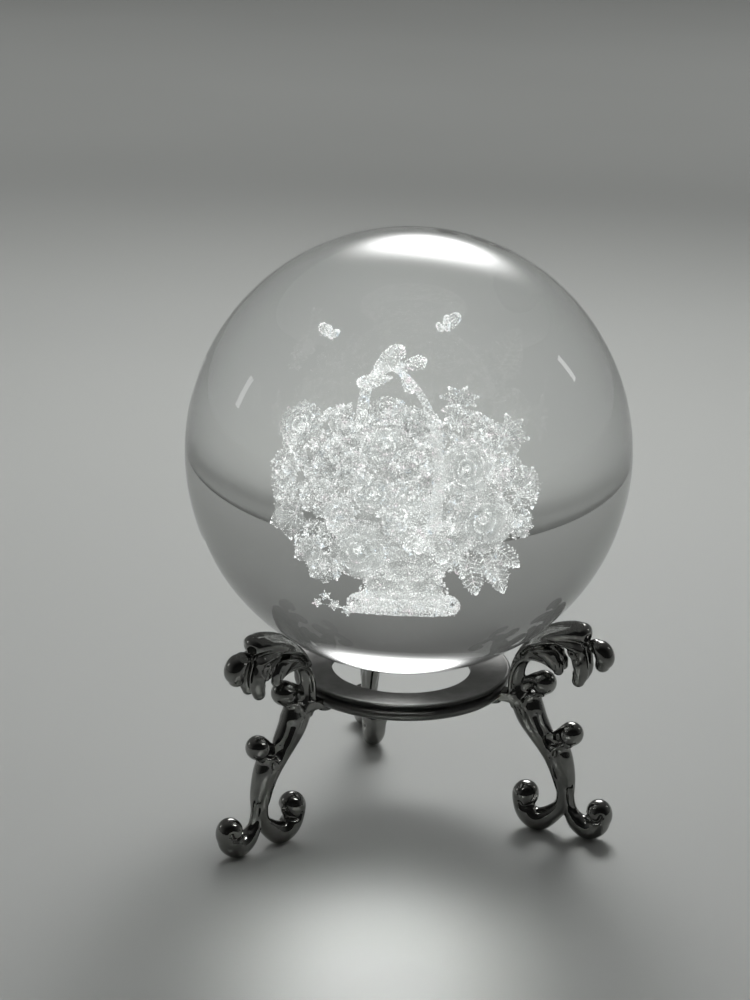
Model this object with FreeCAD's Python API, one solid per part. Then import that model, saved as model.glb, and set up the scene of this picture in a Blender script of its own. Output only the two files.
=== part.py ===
import FreeCAD, Part
import math
import os

from FreeCAD import Matrix, Placement, Rotation, Vector

# Crystal ball paperweight on a three-legged stand. A solid glass ball, with a basket of flowers and two
# butterflies marked inside the glass, lies on the curled leaf tops of three cast scroll legs. The legs
# are screwed up into the underside of a small turned ring. Millimetres, +Z up, the feet stand on Z = 0,
# the ball's axis is the Z axis, and one leg points along +Y.

# Ball
ball_d = 80.0
ball_z = 69.3            # height of the ball's centre
seat_gap = 0.15          # drawn clearance between the ball and each leaf top

# Ring: a slightly dished plate, a V groove under its rim, a half-round bead and a short skirt
ring_bore_r = 12.8
ring_rim_r = 20.2
ring_groove_r = 18.6
ring_bead_r = 19.75
ring_wall_r = 16.2       # inside of the skirt
ring_base_z = 25.0
ring_plate_z = 26.8      # underside of the plate, inside the skirt
ring_top_z = 28.5        # highest line, near the rim
ring_bore_top_z = 27.8
rim_round = 0.45

# Legs: cast scrolls, drawn in the radial plane as (radius, height) and turned to these directions
leg_turns = {"leg_back": 90.0, "leg_front_left": 210.0, "leg_front_right": 330.0}

# Tenon of each leg, in a notch of the ring's skirt, held by one screw from below
tenon_inner_r = 16.9
tenon_outer_r = 22.6
tenon_width = 3.0
tenon_bottom_z = 24.7
tenon_top_z = 26.6
notch_play = 0.1
screw_r = 18.1           # radius of the screws' circle
screw_hole_r = 0.9
screw_thread_r = 0.8
screw_thread_top_z = 27.8
screw_head_r = 1.45
screw_head_h = 0.8
slot_width = 0.35
slot_depth = 0.35

# Engraved figure: its axis is the ball's, turned about Z so that its front looks between two legs.
# Its places are (x, y, z) from the ball's centre, with -y to the front.
figure_turn = -10.0
basket_profile_z = {"foot": -19.2, "waist": -14.6, "rim": -7.5}
basket_foot_r = 6.6
basket_waist_r = 4.4
basket_rim_r = 9.4
basket_wall = 0.7
handle_turn = -60.0      # direction of the handle's plane, from +x
handle_top_z = 10.2
handle_width = 1.8
handle_thick = 0.6

ball_centre = Vector(0, 0, ball_z)
up = Vector(0, 0, 1)


# ---------------------------------------------------------------- general shapes

def ball(centre, radius):
    return Part.makeSphere(radius, centre)


def ellipse_wire(centre, normal, side, half_side, half_other, points=16):
    """Closed smooth oval in the plane square to normal, starting along side."""
    side = Vector(side).normalize()
    other = Vector(normal).normalize().cross(side)
    rim = []
    for i in range(points):
        angle = 2 * math.pi * i / points
        rim.append(centre + side * (half_side * math.cos(angle)) + other * (half_other * math.sin(angle)))
    curve = Part.BSplineCurve()
    curve.interpolate(rim, PeriodicFlag=True)
    return Part.Wire(curve.toShape())


def strand(stations, side_shift=0.0, steps_per_station=2):
    """Solid of elliptical sections along a smooth line in the radial plane.

    A station is (radius, height, half width in the plane, half width across the plane)."""
    points = [Vector(s[0], side_shift, s[1]) for s in stations]
    line = Part.BSplineCurve()
    line.interpolate(points)
    along = [line.parameter(p) for p in points]
    wires = [section(line, along, stations, 0, 0.0)]
    for i in range(len(stations) - 1):
        for j in range(steps_per_station):
            wires.append(section(line, along, stations, i, (j + 1) / steps_per_station))
    return Part.makeLoft(wires, True, False)


def section(line, along, stations, i, share):
    """Oval across the line, share of the way from station i to the next."""
    at = along[i] + (along[i + 1] - along[i]) * share
    half_in = stations[i][2] * (1 - share) + stations[i + 1][2] * share
    half_across = stations[i][3] * (1 - share) + stations[i + 1][3] * share
    tangent = line.tangent(at)[0]
    return ellipse_wire(line.value(at), tangent, tangent.cross(Vector(0, 1, 0)), half_in, half_across)


def turned(profile):
    """Solid turned about Z from a closed list of points and three-point arcs in the XZ plane."""
    face = Part.Face(Part.Wire(profile))
    return face.revolve(Vector(0, 0, 0), up, 360)


def line_xz(a, b):
    return Part.LineSegment(Vector(a[0], 0, a[1]), Vector(b[0], 0, b[1])).toShape()


def arc_xz(a, b, c):
    return Part.Arc(Vector(a[0], 0, a[1]), Vector(b[0], 0, b[1]), Vector(c[0], 0, c[1])).toShape()


def about_z(shape, degrees):
    copy = shape.copy()
    copy.rotate(Vector(0, 0, 0), up, degrees)
    return copy


# ---------------------------------------------------------------- stand

def make_ring():
    rim_z = ring_top_z - rim_round
    bead_z = (ring_base_z + ring_plate_z + 0.35) / 2
    groove_z = ring_plate_z + 0.55
    profile = [
        line_xz((ring_bore_r, ring_bore_top_z - 0.9), (ring_bore_r, ring_bore_top_z - 0.1)),
        arc_xz((ring_bore_r, ring_bore_top_z - 0.1), (ring_bore_r + 0.05, ring_bore_top_z),
               (ring_bore_r + 0.2, ring_bore_top_z + 0.03)),
        arc_xz((ring_bore_r + 0.2, ring_bore_top_z + 0.03), (16.6, ring_bore_top_z + 0.3),
               (ring_rim_r - 0.6, ring_top_z)),
        arc_xz((ring_rim_r - 0.6, ring_top_z), (ring_rim_r - 0.1, rim_z + 0.25), (ring_rim_r, rim_z)),
        line_xz((ring_rim_r, rim_z), (ring_groove_r, groove_z)),
        line_xz((ring_groove_r, groove_z), (ring_groove_r + 0.25, groove_z - 0.25)),
        arc_xz((ring_groove_r + 0.25, groove_z - 0.25), (ring_bead_r, bead_z),
               (ring_groove_r + 0.35, ring_base_z)),
        line_xz((ring_groove_r + 0.35, ring_base_z), (ring_wall_r, ring_base_z)),
        line_xz((ring_wall_r, ring_base_z), (ring_wall_r, ring_plate_z)),
        line_xz((ring_wall_r, ring_plate_z), (ring_bore_r, ring_bore_top_z - 0.9)),
    ]
    ring = turned(profile)
    for degrees in leg_turns.values():
        width = tenon_width + 2 * notch_play
        length = ring_rim_r + 1 - tenon_inner_r + notch_play
        notch = Part.makeBox(length, width, tenon_top_z - ring_base_z + 1,
                             Vector(tenon_inner_r - notch_play, -width / 2, ring_base_z - 1))
        tapped = Part.makeCylinder(screw_thread_r, screw_thread_top_z - tenon_top_z,
                                   Vector(screw_r, 0, tenon_top_z))
        ring = ring.cut(about_z(notch.fuse(tapped), degrees))
    return ring


def leg_strands():
    """The curled, overlapping strands that the casting is made of, in the XZ plane."""
    spine = [
        (37.6, 34.3, 0.7, 0.8), (38.1, 36.0, 1.8, 2.0), (36.7, 38.0, 1.6, 1.9), (34.6, 39.4, 1.6, 2.5),
        (32.0, 39.9, 1.8, 2.8), (29.0, 39.1, 1.9, 2.6), (26.2, 37.3, 1.8, 2.2), (23.9, 34.6, 1.5, 1.7),
        (22.5, 31.3, 1.3, 1.4), (22.1, 28.0, 1.5, 1.5), (23.0, 25.2, 2.0, 1.9), (24.7, 22.6, 2.4, 2.2),
        (26.9, 19.9, 2.4, 2.1), (29.3, 17.1, 2.3, 1.8), (31.1, 14.2, 2.2, 1.9), (32.2, 11.0, 2.0, 1.75),
        (32.5, 8.2, 1.6, 1.5), (31.9, 5.6, 1.4, 1.4), (30.2, 3.6, 1.65, 1.55), (28.0, 1.95, 2.05, 1.8),
        (26.0, 2.8, 1.9, 1.8), (24.7, 4.5, 1.7, 1.7), (25.0, 6.4, 1.2, 1.2),
    ]
    outer_foot = [
        (32.7, 9.5, 1.2, 1.1), (33.0, 7.2, 1.2, 1.2), (33.4, 4.8, 1.3, 1.4), (35.0, 2.8, 1.8, 1.7),
        (37.2, 1.9, 2.05, 1.9), (38.9, 3.0, 1.9, 1.8), (39.0, 5.0, 1.3, 1.3),
    ]
    lower_curl = [(30.4, 14.0, 1.4, 1.5), (30.6, 16.8, 1.7, 1.6), (31.2, 19.2, 1.8, 1.7), (32.6, 20.0, 1.7, 1.7)]
    upper_curl = [(23.5, 25.4, 1.4, 1.6), (24.4, 27.8, 1.8, 1.6), (25.8, 29.0, 2.0, 1.7), (27.0, 29.2, 1.8, 1.7)]
    solids = [strand(s) for s in (spine, outer_foot, lower_curl, upper_curl)]
    for side in (-1.7, 1.7):
        inner_lobe = [(26.6, 36.6, 1.9, 0.9), (28.4, 34.8, 2.1, 1.1), (29.9, 32.9, 1.2, 0.8)]
        middle_lobe = [(32.4, 38.2, 2.0, 1.1), (34.3, 34.6, 1.8, 1.1), (34.3, 31.4, 1.0, 0.8)]
        solids += [strand(inner_lobe, side), strand(middle_lobe, side)]
        solids += [ball(Vector(30.1, side, 32.6), 0.95), ball(Vector(34.3, side, 31.2), 1.0)]
    buds = [(27.4, 29.2, 2.3), (33.1, 20.2, 2.3), (38.9, 5.5, 2.4), (25.2, 6.9, 2.4)]
    solids += [ball(Vector(r, 0, z), radius) for r, z, radius in buds]
    solids.append(ball(Vector(37.8, 0, 34.4), 1.3))
    return solids


def make_leg():
    """One leg along +X, with ground flats under both foot scrolls and a seat for the ball."""
    solids = leg_strands()
    tenon = Part.makeBox(tenon_outer_r - tenon_inner_r, tenon_width, tenon_top_z - tenon_bottom_z,
                         Vector(tenon_inner_r, -tenon_width / 2, tenon_bottom_z))
    leg = solids[0].multiFuse(solids[1:] + [tenon])
    hole = Part.makeCylinder(screw_hole_r, 6, Vector(screw_r, 0, tenon_bottom_z - 2))
    floor = Part.makeBox(40, 20, 5, Vector(15, -10, -5))
    leg = leg.cut(floor).cut(hole).cut(ball(ball_centre, ball_d / 2 + seat_gap))
    ring_space = Part.makeCylinder(ring_rim_r + 0.15, 3.2, Vector(0, 0, tenon_top_z))
    return leg.cut(ring_space)


def make_screw():
    head_z = tenon_bottom_z - screw_head_h
    shank = Part.makeCylinder(screw_thread_r, screw_thread_top_z - tenon_bottom_z - 0.2,
                              Vector(screw_r, 0, tenon_bottom_z))
    head = Part.makeCylinder(screw_head_r, screw_head_h, Vector(screw_r, 0, head_z))
    head = head.makeFillet(0.35, [head.Edges[i] for i in bottom_edges(head, head_z)])
    slot = Part.makeBox(2 * screw_head_r + 1, slot_width, slot_depth + 1,
                        Vector(screw_r - screw_head_r - 0.5, -slot_width / 2, head_z - 1))
    return head.fuse(shank).cut(slot)


def bottom_edges(shape, z):
    return [i for i, edge in enumerate(shape.Edges)
            if abs(edge.BoundBox.ZMax - z) < 1e-6 and edge.BoundBox.ZLength < 1e-6]


# ---------------------------------------------------------------- engraved figure

def in_figure(shape):
    """From the figure's own frame to its place in the ball."""
    return about_z(shape, figure_turn).translated(ball_centre)


def facing(shape, at, direction, spin=0.0):
    """Turn a shape drawn along +Z to look along direction, at a place in the figure."""
    copy = shape.copy()
    turn = Rotation(up, Vector(*direction)).multiply(Rotation(up, spin))
    copy.Placement = Placement(Vector(*at), turn)
    return copy


def disc(half_long, half_short, thick, offset=0.0):
    """Thin oval plate in the XY plane, its centre moved out along X."""
    face = Part.Face(ellipse_wire(Vector(offset, 0, 0), up, Vector(1, 0, 0), half_long, half_short))
    return face.extrude(Vector(0, 0, thick)).translated(Vector(0, 0, -thick / 2))


def double_flower(radius):
    """Rose head: a turned cup with a dimple and a smaller cup inside it."""
    h = radius * 0.9
    profile = [
        line_xz((0, -h * 0.55), (radius * 0.35, -h * 0.55)),
        arc_xz((radius * 0.35, -h * 0.55), (radius * 0.8, -h * 0.2), (radius, h * 0.4)),
        arc_xz((radius, h * 0.4), (radius * 0.84, h * 0.33), (radius * 0.72, h * 0.1)),
        arc_xz((radius * 0.72, h * 0.1), (radius * 0.6, h * 0.3), (radius * 0.45, h * 0.5)),
        arc_xz((radius * 0.45, h * 0.5), (radius * 0.25, h * 0.42), (radius * 0.08, h * 0.12)),
        line_xz((radius * 0.08, h * 0.12), (0, h * 0.12)),
        line_xz((0, h * 0.12), (0, -h * 0.55)),
    ]
    return turned(profile)


def open_flower(radius, petals, thick=0.35, tilt=20.0):
    """Flat flower of oval petals round a small ball."""
    solids = [ball(Vector(0, 0, 0.1), radius * 0.28)]
    for i in range(petals):
        petal = disc(radius * 0.36, radius * 0.27, thick, radius * 0.6)
        petal.rotate(Vector(0, 0, 0), Vector(0, 1, 0), -tilt)
        solids.append(about_z(petal, 360.0 * i / petals))
    return solids[0].multiFuse(solids[1:])


def leaf(length, width, thick=0.35):
    """Pointed oval plate along +X from its stalk."""
    half = width / 2
    rim = [
        Part.Arc(Vector(0, 0, 0), Vector(length * 0.45, half, 0), Vector(length, 0, 0)).toShape(),
        Part.Arc(Vector(length, 0, 0), Vector(length * 0.45, -half, 0), Vector(0, 0, 0)).toShape(),
    ]
    return Part.Face(Part.Wire(rim)).extrude(Vector(0, 0, thick))


def rod(a, b, radius):
    a = Vector(*a)
    b = Vector(*b)
    return Part.makeCylinder(radius, (b - a).Length, a, b - a)


def make_basket():
    foot, waist, rim = (basket_profile_z[k] for k in ("foot", "waist", "rim"))
    w = basket_wall
    profile = [
        line_xz((basket_foot_r, foot), (basket_foot_r, foot + 0.5)),
        arc_xz((basket_foot_r, foot + 0.5), (basket_waist_r + 0.5, foot + 2.4), (basket_waist_r, waist)),
        arc_xz((basket_waist_r, waist), (basket_rim_r - 2.2, waist + 2.6), (basket_rim_r, rim)),
        line_xz((basket_rim_r, rim), (basket_rim_r - w, rim)),
        arc_xz((basket_rim_r - w, rim), (basket_rim_r - 2.9, waist + 3.1), (0.8, waist + 1.2)),
        line_xz((0.8, waist + 1.2), (0.0, waist + 1.2)),
        line_xz((0.0, waist + 1.2), (0.0, waist)),
        line_xz((0.0, waist), (0.8, waist)),
        arc_xz((0.8, waist), (basket_waist_r - 1.2, foot + 2.6), (basket_foot_r - w, foot)),
        line_xz((basket_foot_r - w, foot), (basket_foot_r, foot)),
    ]
    return in_figure(turned(profile))


def make_handle():
    """Flat strip bent to half an ellipse, from one side of the rim over to the other."""
    foot_z = basket_profile_z["rim"] + 0.1
    rise = handle_top_z - foot_z
    reach = basket_rim_r - 0.1
    arch = None
    for half, high in ((reach, rise), (reach - handle_thick, rise - handle_thick)):
        wire = ellipse_wire(Vector(0, 0, foot_z), Vector(0, 1, 0), Vector(1, 0, 0), half, high)
        solid = Part.Face(wire).extrude(Vector(0, handle_width, 0)).translated(Vector(0, -handle_width / 2, 0))
        arch = solid if arch is None else arch.cut(solid)
    below = Part.makeBox(40, 40, 40, Vector(-20, -20, foot_z - 40))
    return in_figure(about_z(arch.cut(below), handle_turn))


def bow(at, loops, tails, thick=0.5, width=1.6):
    """Ribbon bow: oval loops and straight tails round a small knot, drawn in its own plane."""
    solids = [ball(Vector(*at), 0.75)]
    for angle, length, lift in loops:
        outer = disc(length / 2, length * 0.24, width, length / 2)
        inner = disc(length / 2 - thick, length * 0.24 - thick, width + 1, length / 2)
        loop = outer.cut(inner)
        loop.rotate(Vector(0, 0, 0), Vector(1, 0, 0), 90)
        loop.rotate(Vector(0, 0, 0), Vector(0, 1, 0), -lift)
        solids.append(about_z(loop, angle).translated(Vector(*at)))
    for direction, length in tails:
        tip = Vector(*at) + Vector(*direction).normalize() * length
        solids.append(rod(at, tuple(tip), 0.45))
    return in_figure(solids[0].multiFuse(solids[1:]))


roses = [  # place, direction it looks, radius
    ((-6.5, -10.0, -10.0), (-0.4, -0.8, -0.4), 3.5), ((9.0, -8.0, -6.0), (0.5, -0.8, -0.3), 3.3),
    ((8.2, -6.0, -0.5), (0.4, -0.7, 0.5), 3.2), ((-12.5, 0.0, 2.5), (-0.8, -0.1, 0.6), 3.0),
    ((-3.0, -4.0, 1.5), (-0.2, -0.6, 0.8), 3.6), ((-7.0, 9.0, -5.0), (-0.5, 0.8, 0.2), 3.5),
    ((6.0, 9.5, -6.0), (0.4, 0.9, 0.0), 3.5), ((0.0, 7.5, 0.5), (0.0, 0.6, 0.8), 3.2),
]
open_flowers = [  # place, direction, radius, petals
    ((-14.5, -6.0, -6.5), (-0.8, -0.6, 0.0), 3.4, 5), ((11.5, 0.0, 2.5), (0.8, -0.2, 0.5), 3.0, 6),
    ((13.5, -1.5, -4.0), (0.9, -0.3, 0.0), 2.6, 5), ((5.0, 2.5, 4.5), (0.3, 0.1, 0.9), 2.2, 6),
    ((-12.5, 6.0, -6.0), (-0.8, 0.5, 0.0), 3.0, 5), ((12.5, 6.0, -5.5), (0.8, 0.5, 0.0), 3.0, 5),
    ((-1.0, 12.0, -9.0), (0.0, 1.0, -0.1), 2.8, 5),
]
small_flowers = [  # place, direction, radius
    ((-15.0, -1.5, -1.5), (-1.0, -0.2, 0.2), 2.1), ((-14.0, -5.0, -11.2), (-0.8, -0.4, -0.3), 2.1),
    ((-11.0, -7.6, -13.4), (-0.6, -0.6, -0.5), 2.2), ((-6.5, -9.5, -4.4), (-0.3, -0.9, 0.1), 1.7),
    ((-2.6, 3.0, 4.2), (0.0, 0.0, 1.0), 1.9), ((-8.0, -0.5, 4.0), (-0.4, 0.0, 0.9), 1.9),
    ((13.2, -5.0, -8.2), (0.9, -0.4, -0.2), 1.6), ((-0.8, -9.5, -3.6), (0.0, -1.0, 0.2), 1.9),
    ((-8.2, -6.5, -0.4), (-0.4, -0.7, 0.5), 2.1), ((-8.0, 6.0, 2.0), (-0.4, 0.5, 0.8), 2.0),
    ((8.0, 6.0, 1.5), (0.4, 0.5, 0.8), 2.0), ((8.5, 9.5, -11.2), (0.5, 0.8, -0.3), 2.0),
]
leaves = [  # stalk, direction, length, width
    ((7.6, -5.8, -10.8), (0.3, -0.2, -1.0), 5.0, 3.0), ((9.8, -3.6, -11.0), (0.5, -0.2, -0.9), 5.2, 2.8),
    ((10.4, -3.0, -9.6), (0.8, -0.3, -0.7), 4.4, 2.4), ((-8.0, -6.0, -11.4), (-0.2, -0.3, -1.0), 3.4, 1.4),
    ((-9.6, 3.6, -9.4), (-0.5, 0.3, -0.9), 4.6, 2.6), ((7.8, 6.2, -12.4), (0.4, 0.4, -0.9), 4.4, 2.6),
    ((-7.0, 8.6, -9.8), (-0.3, 0.5, -0.9), 4.6, 2.6),
]
sprig_stem = ((-11.3, -5.2, -18.8), (-3.0, -7.4, -18.6))
blossoms = [  # place, radius and where its stalk meets the stem, beside the basket's foot
    ((-10.4, -5.0, -17.3), 0.9, 0.3), ((-11.6, -5.0, -18.8), 0.8, 0.1), ((-9.6, -6.2, -18.7), 1.1, 0.35),
    ((-7.7, -6.8, -19.6), 0.9, 0.6),
]
butterflies = {  # place, direction of the head, size
    "engraved_butterfly_left": ((-10.3, 0.0, 16.4), (-0.5, -0.2, 0.8), 2.0),
    "engraved_butterfly_right": ((3.3, 0.0, 17.4), (0.5, -0.2, 0.8), 2.2),
}


def make_roses():
    return [in_figure(facing(double_flower(r), at, look)) for at, look, r in roses]


def make_open_flowers():
    return [in_figure(facing(open_flower(r, n), at, look)) for at, look, r, n in open_flowers]


def make_small_flowers():
    return [in_figure(facing(double_flower(r), at, look)) for at, look, r in small_flowers]


def make_leaves():
    solids = []
    for at, along, length, width in leaves:
        shape = leaf(length, width)
        shape.Placement = Placement(Vector(*at), Rotation(Vector(1, 0, 0), Vector(*along)))
        solids.append(in_figure(shape))
    return solids


def make_sprig():
    start, end = (Vector(*p) for p in sprig_stem)
    solids = [rod(start, end, 0.16)]
    for at, radius, share in blossoms:
        solids.append(facing(open_flower(radius, 5, 0.3), at, (-0.3, -0.9, 0.2)))
        solids.append(rod(at, start + (end - start) * share, 0.14))
    return in_figure(solids[0].multiFuse(solids[1:]))


def make_butterfly(at, heading, size):
    body = ball(Vector(0, 0, 0), size * 0.16)
    stretch = Matrix()
    stretch.scale(1.0, 1.0, 4.0)
    solids = [body.transformGeometry(stretch)]
    for side in (-1, 1):
        for lift, length, width in ((35.0, size, size * 0.34), (-30.0, size * 0.7, size * 0.3)):
            wing = disc(length / 2, width, 0.22, length / 2)
            wing.rotate(Vector(0, 0, 0), Vector(1, 0, 0), 90)
            wing.rotate(Vector(0, 0, 0), Vector(0, 1, 0), -lift)
            solids.append(about_z(wing, 90 + side * 55.0))
    return in_figure(facing(solids[0].multiFuse(solids[1:]), at, heading))


# ---------------------------------------------------------------- files

def save(name, shapes):
    shape = shapes[0] if len(shapes) == 1 else Part.makeCompound(shapes)
    solids = shape.Solids
    volume = sum(s.Volume for s in solids)
    box = shape.BoundBox
    print(f"{name}: {len(solids)} solids, valid {shape.isValid()}, {volume:.1f} mm3, "
          f"x {box.XMin:.2f}..{box.XMax:.2f} y {box.YMin:.2f}..{box.YMax:.2f} z {box.ZMin:.2f}..{box.ZMax:.2f}")
    shape.exportStep(os.path.join("parts", name + ".step"))


def main():
    os.makedirs("parts", exist_ok=True)
    save("crystal_ball", [ball(ball_centre, ball_d / 2)])
    save("support_ring", [make_ring()])
    leg = make_leg()
    for name, degrees in leg_turns.items():
        save(name, [about_z(leg, degrees)])
    save("leg_screws", [about_z(make_screw(), degrees) for degrees in leg_turns.values()])
    save("engraved_basket", [make_basket()])
    save("engraved_handle", [make_handle()])
    save("engraved_top_bow", [bow((-0.6, 0.0, 11.0), [(200, 4.6, 12), (165, 4.2, -14), (10, 3.6, 8)],
                                  [((0.3, -0.3, -1.0), 3.0)])])
    save("engraved_front_bow", [bow((3.4, -9.6, -7.6), [(205, 4.2, 10), (330, 3.6, -8)],
                                    [((0.5, -0.2, -1.0), 4.6), ((-0.5, -0.3, -1.0), 3.6)])])
    save("engraved_roses", make_roses())
    save("engraved_open_flowers", make_open_flowers())
    save("engraved_small_flowers", make_small_flowers())
    save("engraved_leaves", make_leaves())
    save("engraved_sprig", [make_sprig()])
    for name, (at, heading, size) in butterflies.items():
        save(name, [make_butterfly(at, heading, size)])


main()
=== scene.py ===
import math

import bpy
import numpy as np
from mathutils import Matrix, Vector


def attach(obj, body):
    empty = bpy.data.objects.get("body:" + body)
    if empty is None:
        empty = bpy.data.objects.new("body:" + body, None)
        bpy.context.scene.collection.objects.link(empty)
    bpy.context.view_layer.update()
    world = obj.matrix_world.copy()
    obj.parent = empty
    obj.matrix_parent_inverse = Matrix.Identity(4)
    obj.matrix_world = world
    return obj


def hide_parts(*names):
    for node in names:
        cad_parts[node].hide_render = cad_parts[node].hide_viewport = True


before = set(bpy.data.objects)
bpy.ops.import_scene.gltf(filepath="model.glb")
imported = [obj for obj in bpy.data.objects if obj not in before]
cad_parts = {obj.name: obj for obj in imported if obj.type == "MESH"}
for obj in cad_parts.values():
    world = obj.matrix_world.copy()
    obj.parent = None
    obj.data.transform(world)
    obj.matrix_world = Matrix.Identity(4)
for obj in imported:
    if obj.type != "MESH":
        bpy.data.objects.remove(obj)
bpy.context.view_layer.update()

# Crystal ball paperweight with an engraved flower basket, on a stand of three cast scroll legs.
# Shapes are worked out in millimetres in the part's frame and written in metres.

MM = 0.001

BALL_Z = 69.3
BALL_R = 40.0
SEAT_R = 40.15                     # cast leaf tops stop this far from the ball's centre
LEG_TURNS = {"back": 90.0, "front_left": 210.0, "front_right": 330.0}
FIGURE_TURN = -10.0                # the engraved figure, about the ball's upright axis
MARK_SCATTER = 0.60                # share of the light that a mark sends on
FLECK_PAINTED_GLOW = 0.95                  # strength of the painted glow added to each mark, as if lit from within
# Strength of the painted glow added to the veils
VEIL_PAINTED_GLOW = 0.50

rng = np.random.default_rng(11)


# ------------------------------------------------------------------ material helpers

class Graph:
    """Shader nodes of one material, light or world; an input takes a value or another node's output."""

    def __init__(self, owner):
        owner.use_nodes = True
        self.owner = owner
        self.nodes = owner.node_tree.nodes
        self.links = owner.node_tree.links

    def fill(self, node, inputs):
        for key, value in inputs.items():
            if isinstance(value, bpy.types.NodeSocket):
                self.links.new(value, node.inputs[key])
            else:
                node.inputs[key].default_value = value

    def add(self, kind, inputs, output=0, operation=None):
        """New node with its inputs filled; gives back one of its outputs."""
        node = self.nodes.new("ShaderNode" + kind)
        if operation:
            node.operation = operation
        self.fill(node, inputs)
        return node.outputs[output]

    def noise(self, scale, detail, rough=0.55):
        return self.add("TexNoise", {"Vector": self.add("TexCoord", {}, "Object"), "Scale": scale,
                                     "Detail": detail, "Roughness": rough}, "Fac")

    def ramp(self, source, stops):
        node = self.nodes.new("ShaderNodeValToRGB")
        elements = node.color_ramp.elements
        while len(elements) < len(stops):
            elements.new(0.5)
        for element, (place, colour) in zip(elements, stops):
            element.position = place
            element.color = (*colour, 1.0)
        self.fill(node, {"Fac": source})
        return node.outputs["Color"]

    def to_range(self, source, low, high, from_low=0.3, from_high=0.7):
        return self.add("MapRange", {"Value": source, "From Min": from_low, "From Max": from_high,
                                     "To Min": low, "To Max": high}, "Result")

    def scaled(self, colour, amount):
        return self.add("VectorMath", {"Vector": colour, "Scale": amount}, "Vector", "SCALE")

    def mix(self, share, first, second):
        return self.add("MixShader", {"Fac": share, 1: first, 2: second})

    def finish(self, shader):
        """Give the material this surface."""
        self.fill(self.nodes.new("ShaderNodeOutputMaterial"), {"Surface": shader})
        return self.owner


def new_material(name):
    graph = Graph(bpy.data.materials.new(name))
    graph.nodes.clear()
    return graph


def metal(name, dark, light, rough_low, rough_high, bump):
    """Plated cast metal: cloudy plating, polishing haze, fine pits."""
    graph = new_material(name)
    pits = graph.noise(900.0, 2.0)
    return graph.finish(graph.add("BsdfPrincipled", {
        "Metallic": 1.0,
        "Base Color": graph.ramp(graph.noise(140.0, 3.0), [(0.3, dark), (0.72, light)]),
        "Roughness": graph.to_range(graph.noise(420.0, 5.0, 0.6), rough_low, rough_high),
        "Normal": graph.add("Bump", {"Strength": bump, "Distance": 0.00004, "Height": pits}, "Normal"),
    }))


def crystal():
    """Optical glass with a trace of haze from handling; lamps shine through it."""
    graph = new_material("crystal_glass")
    glass = graph.add("BsdfPrincipled", {
        "Base Color": (0.985, 0.995, 0.988, 1.0),
        "Transmission Weight": 1.0,
        "IOR": 1.52,
        "Roughness": graph.to_range(graph.noise(55.0, 5.0, 0.6), 0.0, 0.012, 0.45, 0.8),
    })
    clear = graph.add("BsdfTransparent", {"Color": (0.34, 0.345, 0.34, 1.0)})
    return graph.finish(graph.mix(graph.add("LightPath", {}, "Is Shadow Ray"), glass, clear))


def grey(level):
    return level, level, level


def toned(graph, colour):
    """Colour multiplied by the tone stored with each mark, which carries the painted shade and light of its
    glow.
    """
    tone = graph.nodes.new("ShaderNodeAttribute")
    tone.attribute_name = "tone"
    return graph.scaled(colour, tone.outputs["Fac"])


def marks_with_painted_glow(graph, colour, glow_colour, glow_strength):
    """Marks that send half their light back and half of it on, plus a painted glow added on top."""
    dim = graph.scaled(colour, MARK_SCATTER)
    back = graph.add("BsdfDiffuse", {"Color": dim})
    through = graph.add("BsdfTranslucent", {"Color": dim})
    # Painted glow: emission that brightens the marks without any lamp
    glow = graph.add("Emission", {"Color": glow_colour, "Strength": glow_strength})
    return graph.add("AddShader", {0: graph.mix(0.5, back, through), 1: glow})


def fleck_material():
    """Tiny frosted cracks: white, some of them faintly pink or blue, with a painted glow on top of the light
    they scatter.
    """
    graph = new_material("engraved_flecks")
    colour = graph.ramp(graph.noise(900.0, 2.0),
                        [(0.30, (0.93, 0.87, 0.90)), (0.42, (0.95, 0.96, 0.95)), (0.6, (0.94, 0.96, 0.955)),
                         (0.74, (0.84, 0.90, 0.96))])
    # Painted sparkle: the glow's strength changes at random from mark to mark
    level = graph.ramp(graph.noise(5200.0, 1.0), [(0.38, grey(0.20)), (0.52, grey(0.46)), (0.64, grey(1.1))])
    # Painted shade and light: the glow takes each mark's tone, darker at petal roots, brighter along rims
    painted_glow_colour = graph.add("VectorMath", {0: toned(graph, colour), 1: level}, "Vector", "MULTIPLY")
    return graph.finish(marks_with_painted_glow(graph, colour, painted_glow_colour, FLECK_PAINTED_GLOW))


def veil_material():
    """Soft smoke of marks too fine to tell apart, laid in thin layers inside the glass."""
    graph = new_material("engraved_veil")
    grain = graph.noise(2600.0, 3.0, 0.7)
    cloud = graph.noise(420.0, 3.0)
    both = graph.add("Math", {0: grain, 1: cloud}, "Value", "MULTIPLY")
    colour = graph.ramp(cloud, [(0.35, (0.80, 0.83, 0.81)), (0.65, (0.91, 0.935, 0.92))])
    # Painted glow, scaled by each face's tone: painted shade at petal roots
    lit = marks_with_painted_glow(graph, colour, toned(graph, colour), VEIL_PAINTED_GLOW)
    clear = graph.add("BsdfTransparent", {})
    return graph.finish(graph.mix(graph.to_range(both, 0.08, 0.34, 0.16, 0.36), clear, lit))


def floor_material():
    """Pale matt board."""
    graph = new_material("studio_floor")
    return graph.finish(graph.add("BsdfPrincipled", {
        "Base Color": graph.ramp(graph.noise(3.0, 2.0),
                                 [(0.3, (0.455, 0.467, 0.452)), (0.7, (0.48, 0.492, 0.477))]),
        "Roughness": 0.7,
        "Specular IOR Level": 0.15,
    }))


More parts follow.
